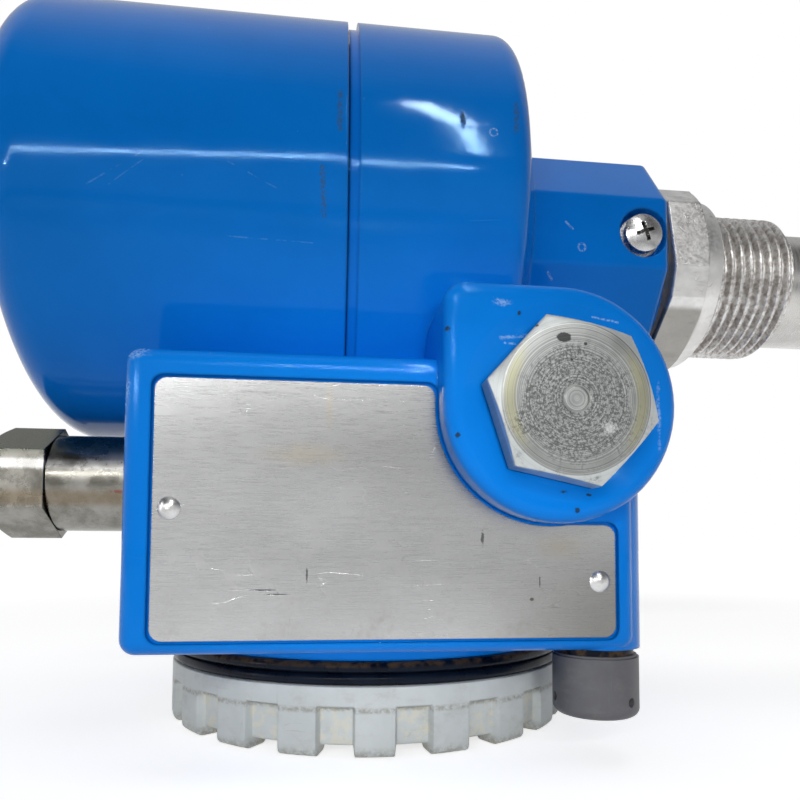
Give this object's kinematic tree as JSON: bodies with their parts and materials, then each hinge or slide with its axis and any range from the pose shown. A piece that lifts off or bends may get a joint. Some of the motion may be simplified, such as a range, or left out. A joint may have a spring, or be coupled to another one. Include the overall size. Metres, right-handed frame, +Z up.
{
  "type": "tuning fork level switch",
  "caption": "Vibrating fork level switch for liquids: steel probe with hexagon and process thread, cast two-chamber housing with screw cover, ribbed terminal cap and cable entries",
  "frame": {"origin": "On the probe axis, at the face of the process connection where its thread starts", "axes": "+X along the probe from the housing to the fork, +Z up as in the picture with the terminal cap at the bottom, -Y out of the nameplate"},
  "size_m": [0.3027, 0.1136, 0.1502],
  "materials": {
    "blue_paint": "glossy powder coat on die-cast aluminium",
    "cast_stainless": "investment-cast stainless steel, dull",
    "stainless": "turned and polished",
    "ceramic": "fired ceramic",
    "brass": "bare",
    "lead_sheath": "soft sheath",
    "plate_steel": "brushed, stained and scratched",
    "rivet_metal": "satin",
    "potting": "cast resin",
    "screw_steel": "bright",
    "red_lens": "clear red",
    "white_plastic": "moulded",
    "wire_insulation": "smooth",
    "grey_plastic": "moulded",
    "rubber": "greased",
    "cap_plastic": "moulded, weathered",
    "zinc_plate": "zinc plated, dulled",
    "nickel_brass": "nickel plated, worn",
    "vent_plastic": "moulded"
  },
  "bodies": {
    "probe": {"process_connection": "cast_stainless", "spigot_seal": "rubber", "extension_tube": "stainless", "fork_head": "stainless", "diaphragm": "stainless", "piezo_discs": "ceramic", "piezo_electrodes": "brass", "stack_insulators": "ceramic", "tension_bolt": "stainless", "tension_nut": "stainless", "sensor_lead": "lead_sheath"},
    "tine_front": {"tine_front": "stainless"},
    "tine_back": {"tine_back": "stainless"},
    "housing": {"housing": "blue_paint", "neck_seal": "rubber", "nameplate": "plate_steel", "plate_rivets": "rivet_metal", "electronic_insert": "potting", "insert_screws": "screw_steel", "insert_terminals": "brass", "indicator_lens": "red_lens", "feedthrough": "potting", "feed_wires": "wire_insulation", "terminal_block": "grey_plastic", "terminal_screws": "screw_steel", "ground_terminal": "brass", "gland_seal": "rubber", "gland_body": "nickel_brass", "vent_seal": "rubber", "vent_body": "vent_plastic", "vent_membrane": "white_plastic", "vent_hood": "vent_plastic"},
    "cover_seal": {"cover_seal": "rubber"},
    "cover": {"cover": "blue_paint"},
    "cap_gasket": {"cap_gasket": "rubber"},
    "terminal_cap": {"terminal_cap": "cap_plastic"},
    "plug_seal": {"plug_seal": "rubber"},
    "entry_plug": {"entry_plug": "zinc_plate"},
    "clamp_washer": {"clamp_washer": "screw_steel"},
    "clamp_screw": {"clamp_screw": "screw_steel"},
    "gland_insert": {"gland_insert": "rubber"},
    "gland_nut": {"gland_nut": "nickel_brass"},
    "failsafe_slider": {"failsafe_slider": "white_plastic"},
    "density_slider": {"density_slider": "white_plastic"}
  },
  "joints": [
    {"name": "housing_turn", "type": "hinge", "parent": "probe", "child": "housing", "pos_m": [-0.03, 0, 0], "axis": [1, 0, 0], "range_deg": [-135, 135]},
    {"name": "tine_front_flex", "type": "hinge", "parent": "probe", "child": "tine_front", "pos_m": [0.11, -0.0066, 0], "axis": [0, 0, 1], "range_deg": [-0.4, 0.4]},
    {"name": "tine_back_flex", "type": "hinge", "parent": "probe", "child": "tine_back", "pos_m": [0.11, 0.0066, 0], "axis": [0, 0, 1], "range_deg": [-0.4, 0.4]},
    {"name": "cover_turn", "type": "hinge", "parent": "housing", "child": "cover_seal", "pos_m": [-0.0859, 0, 0.0037], "axis": [-1, 0, 0], "range_deg": [0, 2160]},
    {"name": "cover_travel", "type": "slide", "parent": "cover_seal", "child": "cover", "axis": [-1, 0, 0], "range_m": [0, 0.012]},
    {"name": "cap_turn", "type": "hinge", "parent": "housing", "child": "cap_gasket", "pos_m": [-0.076, 0.01, -0.0873], "axis": [0, 0, -1], "range_deg": [0, 1080]},
    {"name": "cap_travel", "type": "slide", "parent": "cap_gasket", "child": "terminal_cap", "axis": [0, 0, -1], "range_m": [0, 0.009]},
    {"name": "plug_turn", "type": "hinge", "parent": "housing", "child": "plug_seal", "pos_m": [-0.0491, -0.0514, -0.0423], "axis": [0, -1, 0], "range_deg": [0, 1800]},
    {"name": "plug_travel", "type": "slide", "parent": "plug_seal", "child": "entry_plug", "axis": [0, -1, 0], "range_m": [0, 0.0075]},
    {"name": "clamp_turn", "type": "hinge", "parent": "housing", "child": "clamp_washer", "pos_m": [-0.0223, -0.0237, 0], "axis": [0, -1, 0], "range_deg": [0, 1440]},
    {"name": "clamp_travel", "type": "slide", "parent": "clamp_washer", "child": "clamp_screw", "axis": [0, -1, 0], "range_m": [0, 0.0028]},
    {"name": "nut_turn", "type": "hinge", "parent": "housing", "child": "gland_insert", "pos_m": [-0.1423, -0.01, -0.0521], "axis": [-1, 0, 0], "range_deg": [0, 1440]},
    {"name": "nut_travel", "type": "slide", "parent": "gland_insert", "child": "gland_nut", "axis": [-1, 0, 0], "range_m": [0, 0.006]},
    {"name": "failsafe_slide", "type": "slide", "parent": "housing", "child": "failsafe_slider", "axis": [0, 1, 0], "range_m": [0, 0.002]},
    {"name": "density_slide", "type": "slide", "parent": "housing", "child": "density_slider", "axis": [0, 1, 0], "range_m": [0, 0.002]}
  ],
  "couplings": [
    {"joint": "tine_back_flex", "follows": "tine_front_flex", "ratio": -1},
    {"joint": "cover_travel", "follows": "cover_turn", "m_per_rad": 0.00031831},
    {"joint": "cap_travel", "follows": "cap_turn", "m_per_rad": 0.00047746},
    {"joint": "plug_travel", "follows": "plug_turn", "m_per_rad": 0.00023873},
    {"joint": "clamp_turn", "follows": "clamp_travel", "rad_per_m": 8975.9},
    {"joint": "nut_travel", "follows": "nut_turn", "m_per_rad": 0.00023873}
  ]
}
